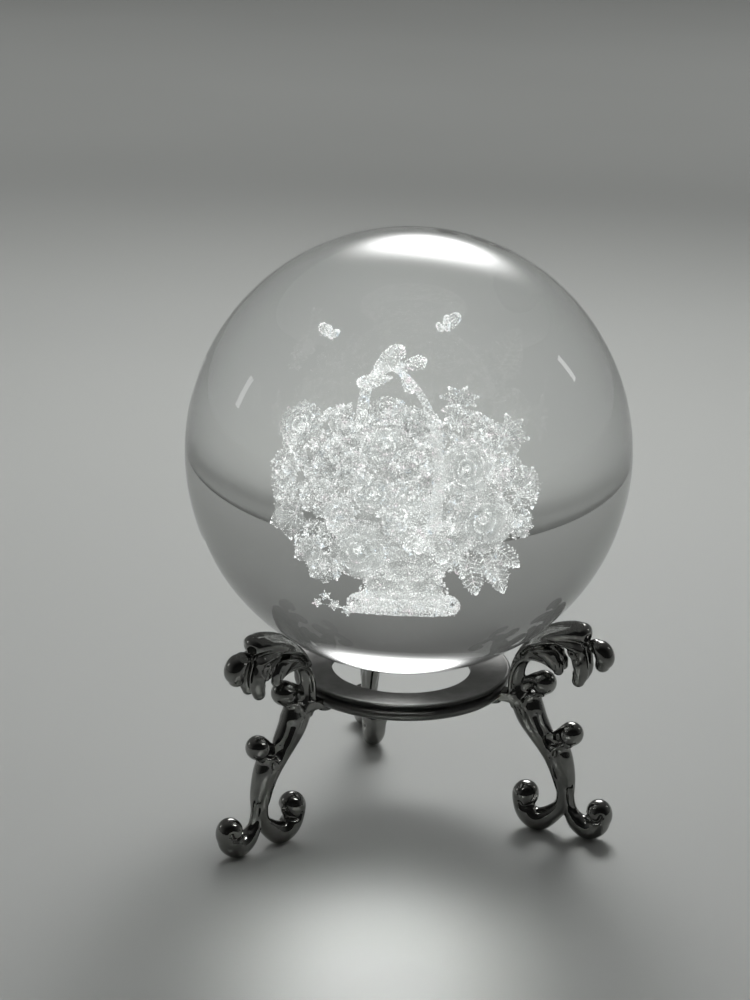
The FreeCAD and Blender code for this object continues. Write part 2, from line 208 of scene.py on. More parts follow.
LEG_METAL = metal("black_nickel_casting", (0.19, 0.19, 0.182), (0.29, 0.29, 0.279), 0.05, 0.13, 0.2)
RING_METAL = metal("black_nickel_turned", (0.125, 0.125, 0.12), (0.185, 0.185, 0.178), 0.30, 0.44, 0.3)
SCREW_METAL = metal("black_nickel_screw", (0.14, 0.145, 0.14), (0.24, 0.245, 0.235), 0.15, 0.28, 0.35)
CRYSTAL = crystal()
FLECKS = fleck_material()
VEIL = veil_material()


# ------------------------------------------------------------------ mesh helpers

def mesh_object(name, points_mm, faces, materials, slots=None, smooth=True):
    mesh = bpy.data.meshes.new(name)
    if not isinstance(faces, list):
        faces = faces.tolist()
    mesh.from_pydata((np.asarray(points_mm) * MM).tolist(), [], faces)
    for material in materials:
        mesh.materials.append(material)
    if slots is not None:
        mesh.polygons.foreach_set("material_index", np.asarray(slots, dtype=np.int32))
    mesh.polygons.foreach_set("use_smooth", np.full(len(mesh.polygons), smooth))
    mesh.update()
    obj = bpy.data.objects.new(name, mesh)
    bpy.context.scene.collection.objects.link(obj)
    return obj


def turn_z(points, degrees):
    a = math.radians(degrees)
    m = np.array([[math.cos(a), -math.sin(a), 0], [math.sin(a), math.cos(a), 0], [0, 0, 1]])
    return points @ m.T


# ------------------------------------------------------------------ crystal ball

def quad_sphere(centre, radius, cuts):
    """Sphere of even quads: a cube's faces blown up, with shared corners."""
    axis = np.tan(np.linspace(-math.pi / 4, math.pi / 4, cuts + 1))
    a, b = np.meshgrid(axis, axis, indexing="ij")
    one = np.ones_like(a)
    sides = [(a, b, one), (b, a, -one), (one, a, b), (-one, b, a), (b, one, a), (a, -one, b)]
    points = []
    faces = []
    for k, side in enumerate(sides):
        p = np.stack([s.ravel() for s in side], axis=1)
        points.append(p / np.linalg.norm(p, axis=1, keepdims=True))
        at = np.arange((cuts + 1) ** 2).reshape(cuts + 1, cuts + 1) + k * (cuts + 1) ** 2
        faces.append(np.stack([at[:-1, :-1], at[1:, :-1], at[1:, 1:], at[:-1, 1:]], axis=-1).reshape(-1, 4))
    points = np.concatenate(points)
    faces = np.concatenate(faces)
    _, first, back = np.unique(np.round(points, 6), axis=0, return_index=True, return_inverse=True)
    return points[first] * radius + np.asarray(centre), back.reshape(-1)[faces]


BALL_CUTS = 100                    # quads along each side of the cube

ball_points, ball_faces = quad_sphere((0, 0, BALL_Z), BALL_R, BALL_CUTS)
glass_ball = mesh_object("glass_ball", ball_points, ball_faces, [CRYSTAL])
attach(glass_ball, "ball")
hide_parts("crystal_ball")


# ------------------------------------------------------------------ cast legs
# Drawn as a distance field in (radius, across, height), then skinned. Strand stations are
# (radius, height, half width in the leg's plane, half width across it).

LEAF_AND_SPINE = [
    (33.9, 39.8, 1.85, 2.5), (32.0, 39.8, 1.85, 2.8), (29.0, 39.0, 1.8, 2.7), (26.2, 37.2, 1.7, 2.3),
    (23.9, 34.6, 1.5, 1.6), (22.5, 31.6, 1.4, 0.95), (22.3, 28.6, 1.65, 0.85), (22.9, 25.8, 1.9, 1.5),
    (24.7, 22.7, 2.35, 2.1), (26.7, 20.0, 2.3, 2.15), (28.5, 17.4, 2.0, 2.0), (29.9, 15.0, 1.75, 1.8),
    (31.0, 12.4, 1.6, 1.6), (31.8, 9.8, 1.4, 1.4),
]
UNDER_LEAF = [
    (23.2, 33.6, 0.9, 0.9), (24.6, 34.6, 1.3, 1.1), (26.2, 35.0, 1.5, 1.3), (27.9, 34.7, 1.6, 1.3),
    (29.3, 33.9, 1.3, 1.1),
]
RIM_BEAD = [
    (22.0, 24.0, 0.40, 0.45), (21.5, 25.6, 0.42, 0.5), (21.3, 27.6, 0.42, 0.5), (21.4, 29.8, 0.42, 0.5),
    (22.1, 31.9, 0.42, 0.5), (23.2, 33.2, 0.42, 0.5), (24.7, 33.8, 0.42, 0.5), (26.3, 33.8, 0.42, 0.5),
    (27.8, 33.4, 0.42, 0.5), (29.3, 32.5, 0.40, 0.45),
]
LEG_FACE = [(25.6, 25.6, 1.5, 1.6), (26.0, 23.8, 1.7, 2.0), (26.8, 21.6, 1.6, 1.9), (28.0, 19.4, 1.2, 1.4)]
LOWER_STRAND = [
    (31.5, 17.0, 1.4, 1.7), (31.6, 15.4, 1.85, 2.0), (31.8, 13.2, 2.15, 2.0), (32.3, 10.8, 1.95, 1.8),
    (32.5, 8.2, 1.65, 1.6), (31.9, 5.7, 1.45, 1.5), (30.2, 3.7, 1.75, 1.65), (28.2, 2.3, 2.15, 1.9),
    (26.7, 2.3, 2.1, 2.05), (25.4, 3.3, 1.95, 2.15), (24.75, 4.9, 1.95, 2.2), (24.9, 6.3, 2.0, 2.25),
]
OUTER_FOOT = [
    (33.0, 9.4, 0.9, 0.95), (33.2, 7.4, 1.05, 1.15), (33.7, 5.0, 1.3, 1.45), (35.1, 3.0, 1.8, 1.8),
    (37.1, 2.2, 2.15, 2.05), (38.8, 3.0, 2.05, 2.15), (39.3, 4.5, 2.0, 2.25),
]
EGG_LOBE = [(36.5, 37.7, 1.35, 1.7), (37.7, 37.0, 1.75, 2.05), (38.3, 35.6, 1.8, 2.1), (38.0, 34.4, 1.4, 1.6)]
MIDDLE_LOBE = [
    (31.4, 38.0, 1.6, 1.1), (33.1, 36.8, 1.85, 1.4), (34.1, 34.6, 1.75, 1.4), (34.4, 32.6, 1.5, 1.25),
    (34.1, 31.2, 1.2, 1.05),
]
INNER_LOBE = [
    (26.2, 36.4, 1.4, 0.9), (28.3, 35.4, 1.6, 1.15), (29.8, 33.9, 1.4, 1.1), (30.3, 32.6, 1.0, 0.85),
]
LOWER_STEM = [(29.6, 18.2, 1.0, 1.1), (30.6, 19.2, 1.2, 1.2), (31.8, 20.0, 1.5, 1.5)]
UPPER_STEM = [(23.4, 27.4, 1.1, 0.8), (24.6, 28.6, 1.4, 1.0), (26.0, 29.3, 1.6, 1.5)]
# Strands on the leg's middle plane and the pairs beside it, in the order in which they are blended in,
# with the size of the fillet and how far to each side they lie
MIDDLE_STRANDS = [(UNDER_LEAF, 0.5), (LEG_FACE, 0.9), (LOWER_STRAND, 0.35), (OUTER_FOOT, 0.35),
                  (LOWER_STEM, 0.3), (UPPER_STEM, 0.3)]
SIDE_STRANDS = [(MIDDLE_LOBE, 1.55, 0.3), (INNER_LOBE, 1.5, 0.3)]
RIM_BEAD_SIDE = 1.0
# Round buds: radius and height of the middle, its own radius, fillet
LEG_BUDS = [(27.4, 29.2, 2.3, 0.3), (33.0, 20.1, 2.25, 0.3), (39.0, 5.7, 2.35, 1.1), (25.1, 7.0, 2.4, 1.1)]

# Lines worked into both side faces: points, height above the face (negative cuts in), half width
FACE_LINES = [
    ([(27.9, 26.5), (26.6, 26.9), (25.3, 26.8), (24.4, 26.0), (24.0, 24.6)], 0.45, 0.40),
    ([(33.4, 17.6), (32.3, 18.0), (31.1, 17.8), (30.2, 17.1), (29.8, 15.9)], 0.40, 0.40),
    ([(22.2, 33.8), (24.0, 36.1), (26.0, 37.3), (28.5, 37.9), (31.0, 38.0), (33.0, 37.7), (34.6, 37.2)],
     0.45, 0.42),
    ([(23.3, 34.4), (24.8, 35.8), (26.6, 36.6), (28.8, 37.0), (31.0, 37.0), (33.0, 36.6)], -0.75, 0.42),
    ([(35.5, 39.6), (35.8, 38.3), (36.3, 36.4), (36.4, 34.2)], -0.75, 0.36),
    ([(31.2, 36.6), (32.2, 35.0), (32.9, 33.4)], -0.60, 0.40),
    ([(29.5, 35.2), (29.8, 33.9), (29.7, 32.5)], -0.25, 0.24),
    ([(30.6, 35.0), (30.8, 33.8), (30.6, 32.4)], -0.25, 0.24),
    ([(23.4, 24.6), (25.0, 21.9), (27.0, 18.9), (28.7, 16.3), (29.8, 14.0), (30.7, 11.5)], -0.30, 0.50),
    ([(26.7, 23.2), (27.4, 21.4), (28.4, 19.5), (29.3, 17.9)], -0.60, 0.55),
    ([(30.4, 16.4), (31.3, 14.2), (32.2, 11.6), (32.9, 9.8)], -0.25, 0.55),
    ([(33.4, 9.4), (33.7, 7.6), (34.1, 6.0), (35.0, 5.1)], -0.75, 0.42),
    ([(28.0, 7.4), (27.2, 6.0), (26.1, 5.0), (25.0, 4.9), (24.5, 5.7)], -0.80, 0.42),
    ([(36.0, 6.6), (36.8, 5.2), (38.1, 4.5), (39.4, 4.7), (39.8, 5.6)], -0.80, 0.42),
]
# Hollows in both side faces: radius, height, depth, half width
PITS = [(29.4, 18.8, 0.9, 0.8), (33.4, 35.6, 0.9, 0.9), (23.9, 31.4, 0.5, 1.2)]
# Side faces begin this far from the middle plane, and over this width
FLAT_HALF, FLAT_EDGE = 0.35, 0.5

TENON = (16.9, 22.6, 1.5, 24.7, 26.6)       # inner and outer radius, half width, bottom, top
SCREW_HOLE = (18.1, 0.9)                    # radius at which it stands, its own radius
RING_SPACE = (20.35, 26.6, 29.8)            # room left for the ring: outer radius, bottom, top


THINNEST = 0.3                              # least half width of a strand


def smooth_line(stations, steps=7):
    """Catmull-Rom curve through stations; every column is carried along."""
    s = np.asarray(stations, dtype=float)
    ends = np.vstack([2 * s[0] - s[1], s, 2 * s[-1] - s[-2]])
    rows = []
    for i in range(1, len(ends) - 2):
        a, b, c, d = ends[i - 1:i + 3]
        for t in np.arange(steps) / steps:
            rows.append(0.5 * (2 * b + (c - a) * t + (2 * a - 5 * b + 4 * c - d) * t * t
                               + (3 * b - a - 3 * c + d) * t ** 3))
    rows.append(s[-1])
    rows = np.array(rows)
    if s.shape[1] == 4:
        rows[:, 2:] = np.maximum(rows[:, 2:], THINNEST)
    return rows


def nearest(line, r, z):
    """Distance from each place in the plane to a line, and the line's columns there."""
    best = np.full(r.shape, 1e9)
    width = [np.zeros(r.shape) for _ in range(line.shape[1] - 2)]
    for a, b in zip(line[:-1], line[1:]):
        d = b[:2] - a[:2]
        along = np.clip(((r - a[0]) * d[0] + (z - a[1]) * d[1]) / max(d @ d, 1e-9), 0, 1)
        dist = np.hypot(r - a[0] - along * d[0], z - a[1] - along * d[1])
        closer = dist < best
        best = np.where(closer, dist, best)
        for k in range(len(width)):
            width[k] = np.where(closer, a[2 + k] + along * (b[2 + k] - a[2 + k]), width[k])
    return best, width


def strand_field(stations, r2, z2, t, side=0.0):
    """Distance, near the surface, to a strand of oval section."""
    u, (half_in, half_across) = nearest(smooth_line(stations), r2, z2)
    u = u[:, None, :]
    a = half_in[:, None, :]
    b = half_across[:, None, :]
    w = (t - side)[None, :, None]
    q = np.sqrt((u / a) ** 2 + (w / b) ** 2)
    slope = np.sqrt((u / a ** 2) ** 2 + (w / b ** 2) ** 2) + 1e-6
    return q * (q - 1) / slope


def blend(a, b, k):
    """Two fields joined with a fillet of size k."""
    h = np.maximum(k - np.abs(a - b), 0) / k
    return np.minimum(a, b) - h * h * k / 4


def leg_field(r1, t1, z1):
    """The whole leg on a grid of radii, places across and heights."""
    r2, z2 = np.meshgrid(r1, z1, indexing="ij")
    field = strand_field(LEAF_AND_SPINE, r2, z2, t1)
    for stations, fillet in MIDDLE_STRANDS:
        field = blend(field, strand_field(stations, r2, z2, t1), fillet)
    for side in (-1.0, 1.0):
        for stations, away, fillet in SIDE_STRANDS:
            field = blend(field, strand_field(stations, r2, z2, t1, away * side), fillet)
    field = blend(field, strand_field(EGG_LOBE, r2, z2, t1), 0.25)
    r3 = r2[:, None, :]
    z3 = z2[:, None, :]
    t3 = t1[None, :, None]
    for at_r, at_z, radius, fillet in LEG_BUDS:
        field = blend(field, np.sqrt((r3 - at_r) ** 2 + t3 ** 2 + (z3 - at_z) ** 2) - radius, fillet)
    on_side = np.clip((np.abs(t3) - FLAT_HALF) / FLAT_EDGE, 0, 1)
    for points, height, half in FACE_LINES:
        s, _ = nearest(smooth_line(points), r2, z2)
        field = field - on_side * (height * np.exp(-(s / half) ** 2))[:, None, :]
    for at_r, at_z, depth, half in PITS:
        s2 = (r2 - at_r) ** 2 + (z2 - at_z) ** 2
        field = field + on_side * (depth * np.exp(-s2 / half ** 2))[:, None, :]
    for side in (-1.0, 1.0):
        field = blend(field, strand_field(RIM_BEAD, r2, z2, t1, RIM_BEAD_SIDE * side), 0.15)
    inner, outer, half, low, high = TENON
    upright = np.maximum(np.abs(t3) - half, np.maximum(low - z3, z3 - high))
    tenon = np.maximum(np.maximum(inner - r3, r3 - outer), upright)
    field = blend(field, tenon, 0.2)
    hole_r, hole = SCREW_HOLE
    field = np.maximum(field, hole - np.sqrt((r3 - hole_r) ** 2 + t3 ** 2))
    field = np.maximum(field, SEAT_R - np.sqrt(r3 ** 2 + t3 ** 2 + (z3 - BALL_Z) ** 2))
    reach, low, high = RING_SPACE
    ring = np.minimum(reach - np.sqrt(r3 ** 2 + t3 ** 2), np.minimum(z3 - low, high - z3))
    field = np.maximum(field, ring)
    return np.maximum(field, -z3)


def skin(field, axes):
    """Surface nets over a field on a grid: a point in each crossed cell, a quad at each crossed edge."""
    inside = field < 0
    shape = np.array(field.shape) - 1
    corners = [(i, j, k) for i in (0, 1) for j in (0, 1) for k in (0, 1)]
    total = np.zeros((*shape, 3))
    count = np.zeros(shape)
    for c in corners:
        for axis in range(3):
            if c[axis]:
                continue
            d = list(c)
            d[axis] = 1
            one = tuple(slice(x, x + n) for x, n in zip(c, shape))
            two = tuple(slice(x, x + n) for x, n in zip(d, shape))
            fa = field[one]
            fb = field[two]
            cross = inside[one] != inside[two]
            share = np.where(cross, fa / np.where(cross, fa - fb, 1.0), 0.0)
            for k in range(3):
                total[..., k] += np.where(cross, c[k] + (share if k == axis else 0.0), 0.0)
            count += cross
    used = count > 0
    number = np.full(shape, -1)
    number[used] = np.arange(used.sum())
    cell = np.argwhere(used)
    local = total[used] / count[used][:, None]
    step = np.array([a[1] - a[0] for a in axes])
    start = np.array([a[0] for a in axes])
    points = start + (cell + local) * step
    quads = []
    for axis in range(3):
        u, v = [a for a in range(3) if a != axis]
        low = [slice(0, n) for n in field.shape]
        high = [slice(0, n) for n in field.shape]
        low[axis] = slice(0, -1)
        high[axis] = slice(1, None)
        cross = inside[tuple(low)] != inside[tuple(high)]
        trim = [slice(1, -1)] * 3
        trim[axis] = slice(0, None)
        at = np.argwhere(cross[tuple(trim)])
        for k in (u, v):
            at[:, k] += 1
        first = inside[tuple(low)][tuple(at.T)]
        around = []
        for du, dv in ((0, 0), (1, 0), (1, 1), (0, 1)):
            q = at.copy()
            q[:, u] -= du
            q[:, v] -= dv
            around.append(number[tuple(q.T)])
        quad = np.stack(around, axis=1)
        flip = first if axis != 1 else ~first
        quad[~flip] = quad[~flip][:, ::-1]
        quads.append(quad)
    return points, np.concatenate(quads)


def even_out(points, quads, rounds, amount):
    """A little smoothing across the net, so that polished faces reflect cleanly."""
    edges = np.concatenate([quads[:, [0, 1]], quads[:, [1, 2]], quads[:, [2, 3]], quads[:, [3, 0]]])
    for _ in range(rounds):
        total = np.zeros_like(points)
        count = np.zeros(len(points))
        for a, b in ((0, 1), (1, 0)):
            for k in range(3):
                total[:, k] += np.bincount(edges[:, a], points[edges[:, b], k], len(points))
            count += np.bincount(edges[:, a], minlength=len(points))
        points = points + amount * (total / count[:, None] - points)
    return points


LEG_RADII = (15.6, 42.6)                    # the space in which a leg is drawn
LEG_HALF_WIDTH = 4.2
LEG_HEIGHTS = (-0.6, 42.9)


def make_leg_skin():
    step = 0.19
    r1 = np.arange(*LEG_RADII, step)
    t1 = np.arange(-LEG_HALF_WIDTH, LEG_HALF_WIDTH + step, step)
    t1 = t1 - t1.mean()
    z1 = np.arange(*LEG_HEIGHTS, step)
    points, quads = skin(leg_field(r1, t1, z1), (r1, t1, z1))
    return even_out(points, quads, 2, 0.5), quads


leg_points, leg_quads = make_leg_skin()
for place, degrees in LEG_TURNS.items():
    leg = mesh_object("cast_leg_" + place, turn_z(leg_points, degrees), leg_quads, [LEG_METAL])
    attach(leg, "stand")
    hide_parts("leg_" + place)

for name, material in (("support_ring", RING_METAL), ("leg_screws", SCREW_METAL)):
    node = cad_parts[name]
    node.data.materials.clear()
    node.data.materials.append(material)


# ------------------------------------------------------------------ engraved figure
# Drawn in the figure's own frame from the ball's centre: x to the right, -y to the front, z up.

FLECK = 0.145                      # usual size of one mark
FIGURE_REACH = BALL_R - 2          # no mark lies further from the ball's centre


def in_ball(points):
    """Places in the figure's frame, moved into the part's frame."""
    return turn_z(np.asarray(points, dtype=float), FIGURE_TURN) + np.array([0, 0, BALL_Z])


def unit(v):
    v = np.asarray(v, dtype=float)
    return v / np.linalg.norm(v)


def looking(direction, spin=0.0):
    """Rotation whose z column looks along direction."""
    z = unit(direction)
    x = unit(np.cross([0.0, 0.0, 1.0] if abs(z[2]) < 0.95 else [0.0, 1.0, 0.0], z))
    y = np.cross(z, x)
    a = math.radians(spin)
    return np.stack([x * math.cos(a) + y * math.sin(a), -x * math.sin(a) + y * math.cos(a), z], axis=1)


class Marks:
    """Marks of one engraved thing: flecks, and thin veils over its smooth areas."""

    def __init__(self):
        self.places = []
        self.sizes = []
        self.tones = []
        self.veils = []

    def flecks(self, places, size=FLECK, jitter=0.06, tone=0.9):
        """One mark near each place."""
        places = np.asarray(places, dtype=float)
        self.places.append(places + rng.normal(0, jitter, places.shape))
        self.sizes.append(size * rng.uniform(0.6, 1.35, len(places)))
        self.tones.append(np.broadcast_to(tone, len(places)))

    def knot(self, at, count, jitter, size=FLECK):
        """Close group of marks about one place."""
        self.flecks(np.tile(at, (count, 1)), size, jitter)

    def surface(self, f, inner, edge, veil=True, grid=(9, 8), size=FLECK, edge_size=None, veins=0,
                tones=(0.85, 0.85)):
        """Marks on a surface f(u, v) -> places, u and v in 0..1: scattered inside, dense along the rim.

        tones are how bright the marks' painted glow is at the root (u = 0) and at the tip (u = 1); a low root
        tone paints shade.
        """
        edge_size = edge_size or size
        if inner:
            u = rng.uniform(0, 1, inner)
            tone = tones[0] + (tones[1] - tones[0]) * u ** 1.4
            self.flecks(f(u, rng.uniform(0, 1, inner)), size, tone=tone)
        if edge:
            s = rng.uniform(0, 1, edge)
            side = rng.integers(0, 3, edge)
            inset = np.abs(rng.normal(0, 0.03, edge))
            u = np.where(side == 0, 1 - inset, s)
            v = np.where(side == 0, s, np.where(side == 1, inset, 1 - inset))
            # Painted light: rim marks glow up to 1.3 times the tip's tone
            self.flecks(f(u, v), edge_size, 0.05, tone=tones[0] + (tones[1] * 1.3 - tones[0]) * u)
        for k in range(veins):
            s = rng.uniform(0.1, 0.95, 26)
            self.flecks(f(s, np.full(26, (k + 1) / (veins + 1))), size * 0.85, 0.03, tone=tones[1])
        if veil:
            self.veils.append((f, grid, tones))

    def build(self, name, node):
        """One piece of all the marks, each fleck a small turned tetrahedron."""
        places = np.concatenate(self.places)
        sizes = np.concatenate(self.sizes)
        keep = np.linalg.norm(places, axis=1) < FIGURE_REACH
        places, sizes = places[keep], sizes[keep]
        tones = [np.repeat(np.concatenate(self.tones)[keep], 4)]
        n = len(places)
        turned = np.einsum("nij,kj->nki", random_turns(n), unit_tetra())
        verts = places[:, None, :] + sizes[:, None, None] * turned
        base = np.arange(n)[:, None, None] * 4
        faces = (base + np.array([[0, 2, 1], [0, 1, 3], [1, 2, 3], [2, 0, 3]])[None]).reshape(-1, 3)
        points = [verts.reshape(-1, 3)]
        all_faces = faces.tolist()
        slots = [0] * len(all_faces)
        start = 4 * n
        for f, (nu, nv), (root_tone, tip_tone) in self.veils:
            shell, shell_faces = thin_shell(f, nu, nv)
            along = (shell_faces[:, 0] % (nu * nv)) // nv / max(nu - 1, 1)
            # Veils glow less towards the root: painted shade
            tones.append(root_tone + (tip_tone - root_tone) * along ** 1.4)
            points.append(shell)
            all_faces += (shell_faces + start).tolist()
            slots += [1] * len(shell_faces)
            start += len(shell)
        places = in_ball(np.concatenate(points))
        obj = mesh_object(name, places, all_faces, [FLECKS, VEIL], slots, smooth=False)
        # Each face's tone sets the strength of its painted glow
        tone = obj.data.attributes.new("tone", "FLOAT", "FACE")
        tone.data.foreach_set("value", np.concatenate(tones).astype(np.float32))
        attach(obj, "ball")
        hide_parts(node)


def unit_tetra():
    """Corners of the tetrahedron that stands for one mark, 0.62 from its middle."""
    c = np.array([[1, 1, 1], [1, -1, -1], [-1, 1, -1], [-1, -1, 1]], dtype=float)
    return c / math.sqrt(3) * 0.62


def random_turns(n):
    """Rotation matrices of random quaternions."""
    q = rng.normal(0, 1, (n, 4))
    q /= np.linalg.norm(q, axis=1, keepdims=True)
    w, x, y, z = q.T
    m = np.empty((n, 3, 3))
    m[:, 0] = np.stack([1 - 2 * (y * y + z * z), 2 * (x * y - z * w), 2 * (x * z + y * w)], axis=1)
    m[:, 1] = np.stack([2 * (x * y + z * w), 1 - 2 * (x * x + z * z), 2 * (y * z - x * w)], axis=1)
    m[:, 2] = np.stack([2 * (x * z - y * w), 2 * (y * z + x * w), 1 - 2 * (x * x + y * y)], axis=1)
    return m


VEIL_THICK = 0.03


def thin_shell(f, nu, nv):
    """Closed thin shell on a surface."""
    u, v = np.meshgrid(np.linspace(0.02, 0.98, nu), np.linspace(0.02, 0.98, nv), indexing="ij")
    p = f(u.ravel(), v.ravel()).reshape(nu, nv, 3)
    du = np.gradient(p, axis=0)
    dv = np.gradient(p, axis=1)
    n = np.cross(du, dv)
    n /= np.linalg.norm(n, axis=2, keepdims=True) + 1e-9
    both = np.concatenate([(p + side * n * VEIL_THICK / 2).reshape(-1, 3) for side in (1, -1)])
    at = np.arange(nu * nv).reshape(nu, nv)
    top = np.stack([at[:-1, :-1], at[1:, :-1], at[1:, 1:], at[:-1, 1:]], axis=-1).reshape(-1, 4)
    low = top[:, ::-1] + nu * nv
    rim = np.concatenate([at[:, 0], at[-1, 1:], at[-2::-1, -1], at[0, -2:0:-1]])
    nxt = np.roll(rim, -1)
    wall = np.stack([rim, rim + nu * nv, nxt + nu * nv, nxt], axis=1)
    return both, np.concatenate([top, low, wall])


def petal(size, width, base_angle, tip_angle, cup, ruffle, waves, phase, pointed):
    """Petal as a surface in the flower's frame: root at the origin, x outwards, z along the flower."""
    def lean(u):
        return np.radians(base_angle + (tip_angle - base_angle) * u ** 1.3)

    steps = 39
    s = np.linspace(0, 1, steps + 1)
    angle = lean(s)
    mid_x = np.concatenate([[0], np.cumsum(np.sin(angle[1:]) / steps)]) * size
    mid_z = np.concatenate([[0], np.cumsum(np.cos(angle[1:]) / steps)]) * size

    def f(u, v):
        side = 2 * v - 1
        if pointed:
            half = width * size * np.sin(math.pi * np.clip(u, 0.001, 0.999) ** 0.85) ** 0.9
        else:
            q = np.clip(u, 0.002, 0.998) ** 1.7
            half = width * size * np.sqrt(4 * q * (1 - q) + 0.001)
        a = lean(u)
        wave = ruffle * size * u ** 2 * np.sin(waves * side + phase) * (0.35 + 0.65 * np.abs(side))
        lift = cup * half * side ** 2 + wave
        x = np.interp(u, s, mid_x) - np.cos(a) * lift
        z = np.interp(u, s, mid_z) + np.sin(a) * lift
        return np.stack([x, side * half, z], axis=1)
    return f


def placed(f, at, turn, around):
    """Surface f spun about its own z axis, turned, and moved to a place."""
    c, s = math.cos(around), math.sin(around)
    spin = np.array([[c, -s, 0], [s, c, 0], [0, 0, 1]])
    m = turn @ spin
    at = np.asarray(at, dtype=float)
    return lambda u, v: f(u, v) @ m.T + at


def petal_tones(root=0.22):
    """Tones of one petal: painted shade makes it darker at its root, and each petal a little different."""
    own = rng.uniform(0.72, 1.15)
    return root * own, own


# Layers of petals, from the outside in: petals, length, half width, lean at the root and at the tip
ROSE_LAYERS = [(6, 1.25, 0.50, 25, 105), (5, 1.08, 0.48, 15, 75), (5, 0.86, 0.46, 8, 45),
               (4, 0.62, 0.42, 2, 22), (3, 0.45, 0.34, 0, 5)]
CRINKLED_LAYERS = [(7, 1.25, 0.36, 30, 100), (6, 0.98, 0.36, 15, 60), (5, 0.66, 0.36, 5, 25)]


def petal_turn(i, count, layer):
    """Way in which petal i looks; every other layer is half a petal on."""
    return 2 * math.pi * (i + 0.5 * (layer % 2)) / count


def rose(marks, at, look, radius, ruffle, smooth):
    """Full flower of wrapped petals, wider and flatter towards the outside; fewer marks behind the figure."""
    frame_turn = looking(look, rng.uniform(0, 360))
    root = np.asarray(at) - unit(look) * radius * 0.35
    inner, edge, size = (3.5, 17, FLECK * 0.8) if smooth else (7.0, 21, FLECK)
    for layer, (count, length, width, base, tip) in enumerate(ROSE_LAYERS):
        for i in range(count):
            f = petal(radius * length, width, base, tip + rng.uniform(-8, 8), 0.35, ruffle, 5.0,
                      rng.uniform(0, 6), False)
            g = placed(f, root, frame_turn, petal_turn(i, count, layer) + rng.uniform(-0.1, 0.1))
            area = (radius * length) ** 2 * (0.5 if at[1] > 5 else 1.0)
            marks.surface(g, int(area * inner), int(radius * length * edge), grid=(8, 7), size=size,
                          edge_size=FLECK * 0.95, tones=petal_tones())


def crinkled(marks, at, look, radius):
    """Small double flower, bright and grainy all over."""
    frame_turn = looking(look, rng.uniform(0, 360))
    root = np.asarray(at) - unit(look) * radius * 0.3
    for layer, (count, length, width, base, tip) in enumerate(CRINKLED_LAYERS):
        for i in range(count):
            f = petal(radius * length, width, base, tip, 0.2, 0.12, 9.0, rng.uniform(0, 6), False)
            g = placed(f, root, frame_turn, petal_turn(i, count, layer))
            marks.surface(g, int(radius ** 2 * length * 6), int(radius * length * 15), veil=(layer == 0),
                          grid=(6, 5), tones=petal_tones(0.3))


LILY_LEAN = (18, 88)                # degrees at the petals' roots, and usually at their tips
STAMENS = 9


def lily(marks, at, look, radius, petals, width, stamens):
    """Open flower of long pointed petals, with or without stamens."""
    frame_turn = looking(look, rng.uniform(0, 360))
    root = np.asarray(at) - unit(look) * radius * 0.3
    base, tip = LILY_LEAN
    for i in range(petals):
        f = petal(radius * 1.15, width, base, tip + rng.uniform(-10, 14), 0.5, 0.03, 3.0,
                  rng.uniform(0, 6), True)
        g = placed(f, root, frame_turn, petal_turn(i, petals, 0))
        marks.surface(g, int(radius ** 2 * 3), int(radius * 19), grid=(9, 6), veins=1,
                      tones=petal_tones(0.35))
    if stamens:
        for i in range(STAMENS):
            way = 2 * math.pi * i / STAMENS
            tip = frame_turn @ np.array([0.35 * math.cos(way), 0.35 * math.sin(way), 0.9]) * radius
            s = np.linspace(0.15, 1, 14)[:, None]
            marks.flecks(root + tip * s, FLECK * 0.8, 0.02)
            marks.knot(root + tip, 5, 0.1)


def star(marks, at, look, radius):
    """Tiny blossom of five pointed petals."""
    frame_turn = looking(look, rng.uniform(0, 72))
    for i in range(5):
        f = petal(radius * 1.1, 0.34, 60, 95, 0.2, 0.03, 3.0, 0.0, True)
        g = placed(f, at, frame_turn, petal_turn(i, 5, 0))
        marks.surface(g, 8, 20, grid=(6, 5), size=FLECK * 0.7, tones=(1.0, 1.0))
    marks.knot(at, 8, 0.1, FLECK * 0.8)


TEETH = 7
SIDE_VEINS = 6


def toothed_leaf(marks, at, along, length, width, face):
    """Serrated leaf with a midrib and side veins."""
    x = unit(along)
    y = unit(np.cross(face, x))
    n = np.cross(x, y)
    at = np.asarray(at, dtype=float)

    def f(u, v):
        side = 2 * v - 1
        tooth = 1 + 0.18 * (1 - 2 * ((u * TEETH) % 1.0)) * np.abs(side)
        half = width / 2 * np.sin(math.pi * np.clip(u, 0.001, 0.999) ** 0.8) ** 0.8 * tooth
        bow = 0.16 * length * (u - u ** 2) - 0.3 * half * side ** 2
        return at + np.outer(u * length, x) + np.outer(side * half, y) + np.outer(bow, n)

    marks.surface(f, int(length * width * 5), int(length * 34), grid=(14, 7), tones=(0.6, 0.95))
    u = rng.uniform(0.02, 0.98, int(length * 16))
    marks.flecks(f(u, np.full(len(u), 0.5)), FLECK, 0.03)
    for k in range(1, SIDE_VEINS + 1):
        s = rng.uniform(0, 1, int(width * 9))
        for side in (-1, 1):
            vein = f(np.clip(k / (SIDE_VEINS + 2) + 0.12 * s, 0, 1), 0.5 + side * 0.45 * s)
            marks.flecks(vein, FLECK * 0.85, 0.03)


# Basket: a foot, a waist and a flared rim
FOOT_Z, WAIST_Z, RIM_Z = -19.2, -14.6, -7.5
FOOT_R, WAIST_R, RIM_R = 6.3, 4.3, 9.2
WEAVE_STEP = 0.92                   # from one row of weave to the next
